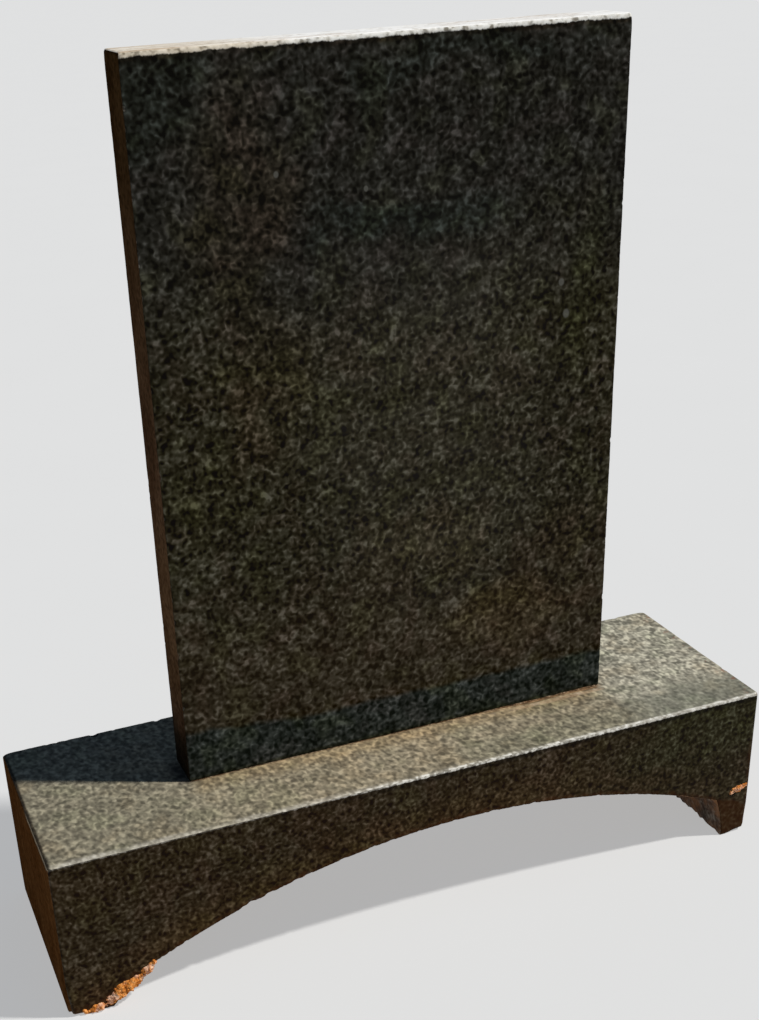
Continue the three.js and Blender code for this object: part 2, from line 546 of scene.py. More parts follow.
def polished(name, where, specular=0.045, rough=0.16):
    """where: "front" of the slab, its "back", or the "base" block's two long faces."""
    n = Nodes(name)
    g = grains(n, 0.79 if where == "base" else 0.88)
    x, y, z = n.xyz()
    cloud = n.noise(n.shifted(0.3), 6.5, 2.0, 0.5)
    if where == "base":
        col = n.mix(n.step(n.add(x, n.around(cloud, 0.25)), 0.12, 0.34), dark_ramp(n, g["v"], 0.3, (7.5, -1.0, -13.5), 0.90), dark_ramp(n, g["v"], -0.8, (5.2, -0.8, -14.0), 0.86))
        col = n.tint(n.step(cloud, 0.40, 0.62, 0.0, 0.5), col, (0.90, 0.94, 0.96))
    else:
        # neutral and dark at the top, browner further down as a painted reflection of the red soil in front of the
        # stone, and neutral again just over the foot as a painted reflection of the base's top
        zz = n.add(z, n.around(cloud, 0.24))
        top = dark_ramp(n, g["v"], -4.6, (1.2, 0.0, -4.6), 0.80)
        mid = dark_ramp(n, g["v"], 0.2, (3.2, 0.1, -11.2), 1.05)
        low = dark_ramp(n, g["v"], 5.4, (5.6, -0.6, -12.0), 0.93)
        base_reflection_band = dark_ramp(n, g["v"], 7.0, (-1.9, 1.4, -2.4), 0.96)
        col = n.mix(n.step(zz, 0.93, 0.70), top, mid)
        col = n.mix(n.step(zz, 0.52, 0.38), col, low)
        foot = n.noise(n.shifted(1.7, 0.2, 0.1), 30.0, 2.0, 0.5)
        line = n.add(z, n.around(foot, 0.012))
        line = n.sub(line, n.step(x, -0.10, -0.27, 0.0, 0.012))
        col = n.mix(n.step(line, bz1 + 0.062, bz1 + 0.051), col, base_reflection_band)
        # painted shade: darker and yellower in the last few millimetres over the joint with the base's top
        col = n.tint(n.step(n.add(z, n.around(foot, 0.004)), bz1 + 0.0075, bz1 + 0.0030, 0.0, 0.75), col, (0.62, 0.58, 0.32))
    col = tone_patches(n, col, 0.7 if where == "base" else 2.9)
    if where == "front":
        # a hazy zone in the middle, greener at the left and warmer at the lower right
        streak = n.noise(n.vmath("MULTIPLY", n.shifted(0.0, 0.0, 4.0), (0.5, 1.0, 3.5)), 14.0, 2.0, 0.5)
        wand = n.noise_vector(n.coord, 9.0, 2.0, 0.16)
        hx, hy, hz = n.xyz(n.vmath("ADD", n.coord, wand))
        haze = n.mul(n.blob(hx, hz, 0.060, 0.66, 0.150, 0.235, 0.55), n.step(streak, 0.30, 0.66, 0.35, 1.0))
        col = n.mix(haze, col, n.mix(1.0, col, (0.0078, 0.0072, 0.0064), "ADD"))
        # centre, half width and half height, and the tint of each area
        for ax, az, rx, rz, tint, by in (
            (-0.168, 0.93, 0.060, 0.110, (1.22, 1.00, 0.76), 0.75),
            (-0.150, 0.72, 0.050, 0.085, (1.12, 0.98, 0.80), 0.60),
            (-0.250, 1.03, 0.050, 0.060, (0.78, 0.96, 0.92), 0.75),
            (0.030, 0.900, 0.110, 0.026, (0.76, 0.97, 0.98), 0.80),
            (0.090, 1.060, 0.180, 0.024, (0.80, 0.98, 0.98), 0.70),
            (0.275, 0.800, 0.026, 0.110, (1.02, 1.10, 0.84), 0.75),
            (0.245, 0.620, 0.035, 0.120, (0.86, 0.84, 0.86), 0.70),
            (0.257, 0.470, 0.042, 0.050, (0.90, 0.78, 0.66), 0.75),
            (0.054, 0.493, 0.080, 0.050, (1.14, 1.08, 0.96), 0.80),
            (0.170, 0.365, 0.085, 0.040, (1.20, 1.08, 0.84), 0.80),
            (-0.226, 0.600, 0.050, 0.070, (1.06, 1.06, 0.80), 0.50),
        ):
            col = n.tint(n.mul(n.blob(hx, hz, ax, az, rx, rz, 0.55), by), col, tint)
        for cx, cz, r in ((0.232, 0.796, 0.0036), (0.240, 0.757, 0.0042), (-0.02, 0.93, 0.0026), (-0.125, 0.955, 0.0028)):
            col = n.mix(n.mul(n.blob(x, z, cx, cz, r, r * 1.25, 0.3), 0.7), col, (0.105, 0.102, 0.086))
    rough_f = n.add(n.mul(g["na"], 0.10), rough - 0.05)
    painted_arris_highlight = None
    if where == "base":
        # reddish-brown soil stain along the arch and round the feet
        dx, dz = n.sub(x, ARCH_X), n.sub(z, ARCH_CROWN - ARCH_R)
        d = n.sub(n.math("SQRT", n.add(n.mul(dx, dx), n.mul(dz, dz))), ARCH_R)
        wob = n.noise(n.shifted(0.9), 70.0, 2.0, 0.6)
        close = n.step(n.add(d, n.around(wob, 0.018)), 0.0090, 0.0005)
        low = n.step(n.add(z, n.around(wob, 0.035)), 0.022, 0.003)
        right_end = n.mul(n.step(n.add(x, n.around(wob, 0.010)), bx1 - 0.010, bx1 - 0.003), n.step(z, 0.17, 0.13))
        stain = n.math("MAXIMUM", n.math("MAXIMUM", close, low), n.mul(right_end, 0.8))
        col = n.mix(n.mul(stain, 0.50), col, (0.046, 0.0160, 0.0050))
        rough_f = n.mixf(stain, rough_f, 0.75)
        # warmer towards the soil line, greener near the right end
        col = n.tint(n.mul(n.step(n.add(d, n.around(cloud, 0.03)), 0.060, 0.010), n.step(x, 0.30, 0.10, 0.35, 0.8)), col, (1.20, 1.00, 0.70))
        col = n.tint(n.mul(n.step(n.add(x, n.around(cloud, 0.2)), 0.26, 0.36), n.step(z, 0.12, 0.165, 0.0, 0.7)), col, (0.90, 1.07, 0.92))
        # a painted shade line just under the top arris, and a bright painted highlight along the arris itself
        painted_shade_line = n.mul(n.step(z, bz1 - 0.0125, bz1 - 0.0070), n.step(x, -0.30, 0.10, 0.25, 0.9))
        col = n.tint(painted_shade_line, col, (0.40, 0.38, 0.36))
        rag = n.noise(n.shifted(4.4), 190.0, 2.0, 0.6)
        edge = n.add(z, n.around(rag, 0.0032))
        where_x = n.add(x, n.around(cloud, 0.2))
        dots = n.step(n.add(g["v"], n.around(rag, 1.0)), 0.34, 0.72, 0.55, 1.0)
        dots = n.math("MAXIMUM", dots, n.step(where_x, 0.00, 0.32, 0.0, 0.92))
        right_more = n.step(where_x, -0.20, 0.20)
        painted_arris_highlight = n.mul(n.step(n.add(edge, n.mul(right_more, 0.0016)), bz1 - 0.0028, bz1 - 0.0012), n.mul(dots, n.step(where_x, -0.26, 0.02, 0.20, 0.95)))
    fine_pale = n.ramp(g["v"], [(0.15, (0.030, 0.027, 0.021)), (0.55, (0.085, 0.078, 0.062)), (0.95, (0.24, 0.22, 0.18))])
    if where == "front":
        # the slab's top arris gets a ragged pale painted highlight line, with a painted shade rim under it
        rag = n.noise(n.vmath("MULTIPLY", n.shifted(4.4), (1.0, 1.0, 0.6)), 120.0, 3.0, 0.6)
        wide = n.noise(n.shifted(9.2), 14.0, 1.0, 0.5)
        edge = n.add(z, n.add(n.around(rag, 0.0055), n.around(wide, 0.0030)))
        painted_arris_highlight = n.mul(n.step(edge, sz1 - 0.0060, sz1 - 0.0040), n.step(n.add(g["v"], n.around(rag, 1.2)), 0.05, 0.45, 0.62, 1.0))
        painted_shade_rim = n.mul(n.step(edge, sz1 - 0.0125, sz1 - 0.0075), n.step(wide, 0.38, 0.58, 0.35, 0.9))
        col = n.tint(painted_shade_rim, col, (0.62, 0.46, 0.30))
    col, rough_f, worn, fine = arris_wear(n, col, rough_f, fine_pale)
    # pale painted highlight colours for the arris lines; on the slab, warmer towards its left
    if painted_arris_highlight is not None:
        if where == "base":
            highlight_colour = n.ramp(g["v"], [(0.05, (0.32, 0.29, 0.235)), (0.45, (0.55, 0.52, 0.45)), (0.90, (0.76, 0.73, 0.66))])
        else:
            highlight_colour = n.ramp(g["v"], [(0.05, (0.40, 0.36, 0.29)), (0.40, (0.68, 0.65, 0.58)), (0.85, (0.84, 0.82, 0.76))])
            highlight_colour = n.tint(n.step(n.add(x, n.around(wide, 0.10)), -0.06, -0.17), highlight_colour, (0.92, 0.84, 0.73))
        col = n.mix(painted_arris_highlight, col, highlight_colour)
        rough_f = n.mixf(painted_arris_highlight, rough_f, 0.7)
    height = n.add(n.mul(worn, fine), n.mul(g["na"], 0.03))
    return n.finish(col, rough_f, n.bump(height, 0.0006, 0.8), specular)


def side_finish(name, soil_reflection_a, soil_reflection_b, foot=False):
    """The ends: dark granite tinted reddish-brown as a painted reflection of the red soil round the stone."""
    n = Nodes(name)
    g = grains(n)
    x, y, z = n.xyz()
    cl = n.noise(n.vmath("MULTIPLY", n.coord, (1.0, 1.0, 0.35)), 24.0, 3.0, 0.6)
    col = n.mix(n.step(cl, 0.32, 0.68), soil_reflection_a, soil_reflection_b)
    col = n.tint(1.0, col, n.ramp(g["v"], [(0.10, (0.50, 0.51, 0.52)), (0.50, (0.80, 0.80, 0.80)), (0.90, (1.0, 1.05, 1.12))]))
    col = n.mix(1.0, col, (1.25, 1.25, 1.25), "MULTIPLY")
    if foot:
        # painted shade and light: darker towards the top, lighter in the middle, and nearly black at the foot over the
        # shaded base top
        col = n.tint(n.step(z, 0.55, 1.06), col, (0.48, 0.47, 0.34))
        col = n.tint(n.mul(n.step(z, 0.30, 0.36), n.step(z, 0.62, 0.50)), col, (1.28, 1.30, 1.20))
        painted_foot_shade = n.add(z, n.around(n.noise(n.shifted(3.3), 22.0, 2.0, 0.5), 0.050))
        col = n.tint(n.step(painted_foot_shade, bz1 + 0.085, bz1 + 0.045), col, (0.32, 0.40, 0.44))
    rough = n.add(n.mul(cl, 0.25), 0.50)
    pale = n.ramp(g["v"], [(0.2, (0.055, 0.034, 0.020)), (0.8, (0.13, 0.092, 0.060))])
    col, rough, worn, fine = arris_wear(n, col, rough, pale, 0.4, 0.40, 0.85)
    if not foot:
        # painted highlight along the left end's top arris in front of the slab
        painted_highlight_lip = n.mul(n.step(n.add(z, n.around(fine, 0.0016)), bz1 - 0.0034, bz1 - 0.0018), n.mul(n.step(y, 0.00, -0.03), n.step(x, 0.1, -0.1)))
        col = n.mix(n.mul(painted_highlight_lip, 0.85), col, (0.46, 0.36, 0.23))
    height = n.add(n.mul(g["na"], 0.4), n.mul(fine, 0.4))
    return n.finish(col, rough, n.bump(height, 0.0004, 0.7), 0.0)


GAIN = [(0.06, 0.46), (0.19, 0.585), (0.34, 0.76), (0.45, 0.91), (0.55, 1.06), (0.66, 1.25), (0.79, 1.54), (0.91, 1.88)]
GAIN = [(a, (b * 0.5, b * 0.5, b * 0.5)) for a, b in GAIN]


def base_top_finish(name):
    """The base's upward face: unpolished, pale and speckled."""
    n = Nodes(name)
    g = grains(n, 0.84, (1.0, 0.76, 1.0), 0.20, 0.36, 1.1)
    x, y, z = n.xyz()
    cloud = n.noise(n.shifted(0.2), 10.0, 3.0, 0.55)
    wob = n.noise(n.shifted(6.2), 24.0, 2.0, 0.5)
    xw = n.add(x, n.around(wob, 0.08))
    yw = n.add(y, n.around(wob, 0.03))
    tone = n.mix(n.step(xw, -0.36, -0.16), (0.205, 0.180, 0.125), (0.245, 0.206, 0.140))
    tone = n.mix(n.step(xw, 0.27, 0.36), tone, n.mix(n.step(yw, -0.100, -0.066), (0.210, 0.200, 0.152), (0.330, 0.304, 0.232)))
    # warm dirt washed down in front of the slab's foot
    front = n.mul(n.step(yw, -0.070, -0.040), n.step(yw, 0.00, -0.01))
    front = n.mul(front, n.mul(n.step(x, sx0 - 0.01, sx0 + 0.02), n.step(x, sx1, sx1 - 0.03)))
    tone = n.tint(n.mul(front, 0.8), tone, (1.12, 0.99, 0.82))
    strip = n.mul(n.step(yw, -0.080, -0.112), n.mul(n.step(xw, -0.02, 0.12), n.step(xw, 0.36, 0.28)))
    tone = n.tint(strip, tone, (0.85, 0.90, 0.91))
    tone = n.tint(n.step(cloud, 0.40, 0.62, 0.0, 0.4), tone, (0.92, 0.94, 0.92))
    gr = n.noise(n.shifted(3.1), 16.0, 2.0, 0.6)
    tone = n.tint(n.step(gr, 0.50, 0.68, 0.0, 0.6), tone, (0.94, 1.0, 0.92))
    tone = n.tint(n.step(gr, 0.48, 0.34, 0.0, 0.5), tone, (1.07, 0.99, 0.90))
    # the grains show less in the front right corner
    corner = n.mul(n.step(xw, 0.24, 0.38), n.step(yw, -0.050, -0.095))
    weak = n.sub(n.step(xw, 0.24, 0.38, 1.0, 1.12), n.mul(corner, 0.44))
    v = n.add(n.mul(n.sub(g["v"], 0.5), weak), 0.5)
    col = n.mix(1.0, n.tint(1.0, tone, n.ramp(v, GAIN)), (2.0, 2.0, 2.0), "MULTIPLY")
    # brown grit under the slab's front edge and a pale orange smear of dried clay a little in front of it, strongest near the right end
    dirt = n.noise(n.shifted(8.4, 0.0, 0.3), 75.0, 3.0, 0.6)
    mid_dirt = n.noise(n.shifted(2.4, 0.0, 0.3), 28.0, 1.0, 0.5)
    edge = n.add(n.sub(sy0, y), n.add(n.around(dirt, 0.007), n.around(mid_dirt, 0.010)))
    ends = n.mul(n.step(x, sx0 - 0.002, sx0 + 0.02), n.step(x, sx1 + 0.006, sx1 - 0.008))
    along = n.mul(n.step(n.add(x, n.around(mid_dirt, 0.25)), 0.06, 0.20, 0.22, 1.0), ends)
    grit = n.mul(n.mul(n.step(edge, 0.0068, 0.0030), n.step(y, sy0 + 0.003, sy0)), along)
    col = n.mix(n.mul(grit, 0.85), col, n.ramp(dirt, [(0.35, (0.080, 0.042, 0.018)), (0.50, (0.20, 0.105, 0.046)), (0.66, (0.40, 0.245, 0.125))]))
    smear = n.mul(n.mul(n.step(edge, 0.0165, 0.0120), n.step(edge, 0.0055, 0.0085)), n.mul(n.step(n.add(x, n.around(mid_dirt, 0.3)), 0.08, 0.20), ends))
    col = n.mix(n.mul(smear, 0.60), col, n.ramp(dirt, [(0.35, (0.28, 0.175, 0.095)), (0.50, (0.43, 0.300, 0.185)), (0.66, (0.62, 0.48, 0.34))]))
    # painted shadow in the corner along the slab's left foot, and painted shade in a notch in the back arris
    painted_contact_shadow = n.mul(n.mul(n.step(n.add(n.sub(sx0, x), n.around(dirt, 0.006)), 0.022, 0.008), n.step(x, sx0 + 0.020, sx0 + 0.010)), n.mul(n.step(y, sy0 - 0.006, sy0 + 0.004), n.step(y, sy1 + 0.002, sy1 - 0.020)))
    col = n.tint(n.mul(painted_contact_shadow, 0.9), col, (0.24, 0.24, 0.28))
    dxn, dyn = n.mul(n.sub(x, -0.371), 1.0 / 0.0062), n.mul(n.sub(y, by1 - 0.003), 1.0 / 0.0070)
    nr = n.math("SQRT", n.add(n.mul(dxn, dxn), n.mul(dyn, dyn)))
    col = n.tint(n.step(nr, 1.25, 0.75), col, (0.10, 0.10, 0.11))
    # rusty specks near the right end
    rs = n.noise(n.shifted(1.3, 2.7, 0.2), 85.0, 2.0, 0.5)
    near_end = n.mul(n.step(rs, 0.56, 0.64), n.step(x, bx1 - 0.022, bx1 - 0.002))
    col = n.mix(n.mul(near_end, 0.7), col, (0.22, 0.090, 0.055))
    # the left end's arris gets painted shade, the front one a pale painted highlight, most at the right
    fine = n.noise(n.coord, 430.0, 2.0, 0.6)
    rag = n.noise(n.shifted(4.4), 190.0, 2.0, 0.6)
    painted_highlight_lip = n.step(n.add(y, n.around(rag, 0.0036)), by0 + 0.0052, by0 + 0.0030)
    where_x = n.add(x, n.around(cloud, 0.2))
    dots = n.step(n.add(g["v"], n.around(rag, 1.0)), 0.36, 0.74, 0.35, 1.0)
    painted_highlight_lip = n.mul(painted_highlight_lip, n.mul(n.math("MAXIMUM", dots, n.step(where_x, 0.00, 0.32, 0.0, 0.88)), n.step(where_x, -0.26, 0.02, 0.0, 0.94)))
    # the strip behind it gets a soft painted highlight, most near the left corner
    painted_highlight_strip = n.mul(n.step(n.add(y, n.add(n.around(wob, 0.008), n.around(rag, 0.006))), by0 + 0.0125, by0 + 0.0035), n.step(x, 0.30, -0.30, 0.25, 1.0))
    highlight_cream = n.ramp(g["v"], [(0.10, (0.30, 0.270, 0.215)), (0.50, (0.44, 0.405, 0.330)), (0.85, (0.66, 0.620, 0.530))])
    col = n.mix(n.mul(painted_highlight_strip, n.step(n.noise(n.shifted(7.7), 20.0, 1.0), 0.36, 0.56, 0.30, 0.78)), col, highlight_cream)
    # the painted highlight on the front lip, and real wear a little paler on the other arrises
    worn = n.mul(n.wear(fine, 0.30, 0.70), n.step(x, bx0 + 0.004, bx0 + 0.014))
    col = n.mix(n.math("MAXIMUM", painted_highlight_lip, n.mul(worn, 0.20)), col, n.ramp(g["v"], [(0.05, (0.34, 0.31, 0.25)), (0.45, (0.58, 0.55, 0.475)), (0.90, (0.80, 0.77, 0.70))]))
    # painted shade along the left end's arris
    col = n.tint(n.step(n.add(x, n.around(dirt, 0.005)), bx0 + 0.0065, bx0 + 0.0030), col, (0.16, 0.14, 0.12))
    height = n.add(n.mul(g["v"], 0.55), n.mul(fine, 0.40))
    return n.finish(col, n.add(n.mul(fine, 0.15), 0.66), n.bump(height, 0.0004, 0.7), 0.15)


def slab_top_finish(name):
    """The slab's sawn top, paler than polished stone and lifted towards white as a painted highlight of its lit face,
    streaked with dirt along its length.
    """
    n = Nodes(name)
    g = grains(n)
    x, y, z = n.xyz()
    place = n.noise(n.shifted(5.4), 9.0, 2.0, 0.5)
    base = n.mix(n.step(n.add(x, n.around(place, 0.10)), -0.20, -0.08), (0.80, 0.73, 0.62), (0.92, 0.90, 0.86))
    col = n.tint(0.6, base, n.ramp(g["v"], [(0.05, (0.60, 0.56, 0.50)), (0.40, (0.94, 0.93, 0.91)), (0.70, (1.0, 1.0, 1.0))]))
    streak = n.noise(n.vmath("MULTIPLY", n.shifted(0.4), (5.0, 100.0, 1.0)), 2.0, 3.0, 0.6)
    amount = n.mul(n.step(streak, 0.48, 0.62), n.math("MAXIMUM", n.step(x, -0.06, -0.16), n.step(place, 0.48, 0.60)))
    col = n.tint(n.mul(amount, 0.75), col, (0.60, 0.48, 0.36))
    fine = n.noise(n.coord, 430.0, 2.0, 0.6)
    height = n.add(n.mul(g["v"], 0.5), n.add(n.mul(fine, 0.4), n.mul(streak, 0.5)))
    return n.finish(col, n.add(n.mul(fine, 0.15), 0.70), n.bump(height, 0.0004, 0.7), 0.2)


def under_finish(name):
    """The arch's underside and the feet: rough-cut stone, stained by the soil that was packed under it."""
    n = Nodes(name)
    g = grains(n)
    col = n.ramp(g["v"], [(0.1, (0.014, 0.010, 0.007)), (0.5, (0.050, 0.040, 0.029)), (0.75, (0.105, 0.088, 0.066)), (1.0, (0.20, 0.18, 0.15))])
    cl = n.noise(n.shifted(0.5), 26.0, 4.0, 0.62)
    soil = n.mix(n.step(cl, 0.35, 0.65), (0.085, 0.032, 0.011), (0.21, 0.092, 0.034))
    col = n.mix(n.step(cl, 0.30, 0.66, 0.15, 0.85), col, soil)
    fine = n.noise(n.coord, 480.0, 3.0, 0.7)
    height = n.add(n.mul(g["v"], 0.4), n.add(n.mul(fine, 0.3), n.mul(cl, 0.8)))
    return n.finish(col, 0.85, n.bump(height, 0.0015, 0.9), 0.15)


def soil_finish(name):
    n = Nodes(name)
    a = n.noise(n.coord, 150.0, 3.0, 0.6)
    b = n.noise(n.shifted(5.1, 1.7, 0.2), 520.0, 2.0, 0.65)
    c = n.noise(n.shifted(2.1, 3.7, 0.2), 70.0, 1.0, 0.5)
    v = n.add(n.add(0.5, n.around(a, 0.9)), n.around(b, 0.8))
    col = n.ramp(v, [(0.20, (0.075, 0.020, 0.004)), (0.36, (0.34, 0.095, 0.014)), (0.50, (0.64, 0.215, 0.038)), (0.64, (0.78, 0.33, 0.085)), (0.82, (0.86, 0.52, 0.27))])
    col = n.mix(n.step(c, 0.53, 0.66, 0.0, 0.75), col, n.ramp(v, [(0.25, (0.30, 0.13, 0.07)), (0.50, (0.72, 0.42, 0.28)), (0.75, (0.88, 0.66, 0.50))]))
    height = n.add(n.mul(a, 0.6), n.mul(b, 0.5))
    return n.finish(col, 0.92, n.bump(height, 0.0014, 1.0), 0.08)


def mortar_finish(name):
    n = Nodes(name)
    a = n.noise(n.coord, 230.0, 3.0, 0.65)
    b = n.noise(n.shifted(2.1, 4.7, 0.2), 55.0, 1.0, 0.5)
    col = n.ramp(a, [(0.32, (0.045, 0.028, 0.014)), (0.45, (0.13, 0.083, 0.045)), (0.58, (0.27, 0.185, 0.110)), (0.74, (0.44, 0.34, 0.23))])
    col = n.tint(n.step(b, 0.42, 0.60, 0.0, 0.8), col, (0.55, 0.40, 0.28))
    return n.finish(col, 0.9, n.bump(a, 0.0009, 1.0), 0.1)


mats = {
    "slab_face": polished("slab_polished_face", "front"),
    "slab_back": polished("slab_polished_back", "back", rough=0.22),
    "slab_side": side_finish("slab_side_soil_reflection", (0.056, 0.0275, 0.0130), (0.094, 0.050, 0.0255), True),
    "slab_top": slab_top_finish("slab_top_sawn"),
    "base_face": polished("base_polished_face", "base", rough=0.20),
    "base_side": side_finish("base_side_soil_reflection", (0.068, 0.0255, 0.0068), (0.102, 0.0425, 0.0130)),
    "base_top": base_top_finish("base_top_weathered"),
    "base_under": under_finish("base_under_rough"),
    "soil": soil_finish("dried_soil"),
    "mortar": mortar_finish("joint_mortar"),
}

# ------------------------------------------------------------------ the upright slab

rng = np.random.default_rng(20)
W, T, H = sx1 - sx0, sy1 - sy0, sz1 - sz0
cx = (sx0 + sx1) / 2
ex, ey, ez = np.eye(3)
root2 = math.sqrt(0.5)

slab = Stone()
plane_patch(slab, (sx0, sy0, sz0), (1, 0, 0), (0, 0, 1), W, H, "slab_face", 0.030, rng)  # front
plane_patch(slab, (sx1, sy1, sz0), (-1, 0, 0), (0, 0, 1), W, H, "slab_back", 0.030, rng)  # back
plane_patch(slab, (sx0, sy1, sz0), (0, -1, 0), (0, 0, 1), T, H, "slab_side", 0.014, rng)  # left
plane_patch(slab, (sx1, sy0, sz0), (0, 1, 0), (0, 0, 1), T, H, "slab_side", 0.014, rng)  # right
plane_patch(slab, (sx0, sy0, sz1), (1, 0, 0), (0, 1, 0), W, T, "slab_top", 0.006, rng)  # top
plane_patch(slab, (sx0, sy1, sz0), (1, 0, 0), (0, -1, 0), W, T, "slab_back", 0.014, rng)  # bed
p = np.array(slab.points)
on_top = np.abs(p[:, 2] - sz1) < 1e-7
relief = fbm(p, 0.012, 3, 5) * 0.00022 + noise3(p * np.array([0.25, 1, 1]), 0.0035, 9) * 0.00010
p0 = p.copy()
d_f, d_b, d_l, d_r, d_t = p[:, 1] - sy0, sy1 - p[:, 1], p[:, 0] - sx0, sx1 - p[:, 0], sz1 - p[:, 2]
jag = fbm(p0, 0.055, 3, 31) + 0.6 * noise3(p0, 0.009, 33)
radius = edge_radius(np.clip(0.0013 + 0.0007 * jag, 0.0007, 0.0030), [
    (d_f, d_t, np.clip(0.0038 + 0.0016 * jag, 0.0020, 0.0060)), (d_b, d_t, 0.0020), (d_l, d_t, 0.0042), (d_r, d_t, 0.0050),
])
coords = [T / 2 - np.abs(p[:, 1]), W / 2 - np.abs(p[:, 0] - cx), sz1 - p[:, 2], p[:, 2] - sz0]
dirs = [-np.sign(p[:, 1:2]) * ey, -np.sign(p[:, 0:1] - cx) * ex, np.tile(-ez, (len(p), 1)), np.tile(ez, (len(p), 1))]
p, moved = round_edges(p, coords, dirs, radius)
near_edge = np.sort(np.stack(coords, 1), axis=1)[:, 1]
fade = np.clip(near_edge / 0.002, 0, 1)
p[:, 2] -= np.where(on_top, (np.abs(relief) + 0.00005) * fade, 0)
slab_chips = []
usual = [(34, (0.0004, 0.0011), (0.0025, 0.0070)), (5, (0.0009, 0.0020), (0.005, 0.012)), (0.7, (0.0018, 0.0032), (0.009, 0.018))]
topmost = [(60, (0.0004, 0.0011), (0.0025, 0.0080)), (12, (0.0009, 0.0017), (0.005, 0.012))]
for xs_, ys_ in ((sx0, sy0), (sx1, sy0), (sx0, sy1), (sx1, sy1)):
    o = np.array([np.sign(xs_ - cx), np.sign(ys_), 0]) * root2
    slab_chips += chips_on(np.array([(xs_, ys_, sz0 + 0.004), (xs_, ys_, sz1 - 0.001)]), [o, o], rng, usual)
for ys_ in (sy0, sy1):
    o = np.array([0, np.sign(ys_), 1]) * root2
    slab_chips += chips_on(np.array([(sx0, ys_, sz1), (sx1, ys_, sz1)]), [o, o], rng, topmost)
for xs_ in (sx0, sx1):
    o = np.array([np.sign(xs_ - cx), 0, 1]) * root2
    slab_chips += chips_on(np.array([(xs_, sy0, sz1), (xs_, sy1, sz1)]), [o, o], rng, topmost)
# two small spalls that run down from the top arris
slab_chips += [chip_at((-0.083, sy0, sz1), (0.1, -1.0, 0.55), 0.0024, 0.0065), chip_at((-0.0815, sy0, sz1 - 0.004), (0.2, -1.0, 0.2), 0.0011, 0.0045)]
slab_chips += [chip_at((0.069, sy0, sz1), (0.0, -1.0, 0.6), 0.0022, 0.0060)]
p, cut = cut_chips(p, slab_chips, 400)
wear = np.clip(moved / 0.0010, 0, 1) * 0.42 + np.clip(cut / 0.00035, 0, 1) * 0.75
slab_obj = stone_object("slab_stone", slab, p, wear, ["slab_face", "slab_back", "slab_side", "slab_top"])
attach(slab_obj, "root")
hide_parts("headstone_slab")

# ------------------------------------------------------------------ the base block

D = by1 - by0


def arc_height(x):
    return ARCH_CROWN - (ARCH_R - np.sqrt(ARCH_R * ARCH_R - (x - ARCH_X) ** 2))


def flank(x0, z0, x1, z1, steps):
    t = np.arange(steps + 1) / steps
    n = np.array([-(z1 - z0), x1 - x0])
    n /= np.linalg.norm(n)
    if n[1] < 0:
        n = -n
    b = FLANK_BULGE * 4 * t * (1 - t)
    return np.stack([x0 + (x1 - x0) * t + n[0] * b, z0 + (z1 - z0) * t + n[1] * b], 1)


# the underside's profile from left to right, resampled evenly
arc_x = np.linspace(ARCH_LEFT, ARCH_RIGHT, 160)
coarse = np.concatenate([
    [(bx0, 0.0)],
    flank(FOOT_LEFT, 0.0, ARCH_LEFT, float(arc_height(ARCH_LEFT)), 8)[:-1],
    np.stack([arc_x, arc_height(arc_x)], 1),
    flank(ARCH_RIGHT, float(arc_height(ARCH_RIGHT)), FOOT_RIGHT, 0.0, 8)[1:],
    [(bx1, 0.0)],
])
run = np.concatenate([[0], np.cumsum(np.linalg.norm(np.diff(coarse, axis=0), axis=1))])
ns = samples(run[-1], 0.0015)
s_at = np.linspace(0, run[-1], ns + 1)
# the feet's inner corners stay sharp on the profile
for corner in (FOOT_LEFT, FOOT_RIGHT):
    s_c = run[np.argmin(np.abs(coarse[:, 0] - corner) + np.abs(coarse[:, 1]))]
    s_at[np.argmin(np.abs(s_at - s_c))] = s_c


def on_profile(s):
    return np.stack([np.interp(s, run, coarse[:, 0]), np.interp(s, run, coarse[:, 1])], 1)


def profile_normal(s, e=0.0015):
    """Unit normals of the profile in the XZ plane, pointing up into the stone."""
    a, b = on_profile(np.clip(s - e, 0, run[-1])), on_profile(np.clip(s + e, 0, run[-1]))
    t = b - a
    t /= np.linalg.norm(t, axis=1)[:, None]
    return np.stack([-t[:, 1], t[:, 0]], 1)


profile = on_profile(s_at)
nz = samples(bz1 - bz0)
nx = samples(bx1 - bx0)
zs = np.arange(nz) / nz * (bz1 - bz0)
xs = np.arange(nx) / nx * (bx1 - bx0)
# front face outline seen from the front, anticlockwise: underside, right edge, top, left edge
outline = np.concatenate([
    profile[:-1],
    np.stack([np.full(nz, bx1), zs], 1),
    np.stack([bx1 - xs, np.full(nx, bz1)], 1),
    np.stack([np.full(nz, bx0), (bz1 - bz0) - zs], 1),
])
outline_corners = np.concatenate([coarse, [(bx1, bz1), (bx0, bz1)]])

base = Stone()
face_p, face_t = patch(outline, outline_corners, 0.020, rng)
base.add(np.stack([face_p[:, 0], np.full(len(face_p), by0), face_p[:, 1]], 1), face_t, "base_face")
base.add(np.stack([face_p[:, 0], np.full(len(face_p), by1), face_p[:, 1]], 1), [(a, c, b) for a, b, c in face_t], "base_face")
plane_patch(base, (bx0, by0, bz1), (1, 0, 0), (0, 1, 0), bx1 - bx0, D, "base_top", 0.0055, rng)
plane_patch(base, (bx0, by1, 0), (0, -1, 0), (0, 0, 1), D, bz1 - bz0, "base_side", 0.012, rng)
plane_patch(base, (bx1, by0, 0), (0, 1, 0), (0, 0, 1), D, bz1 - bz0, "base_side", 0.012, rng)
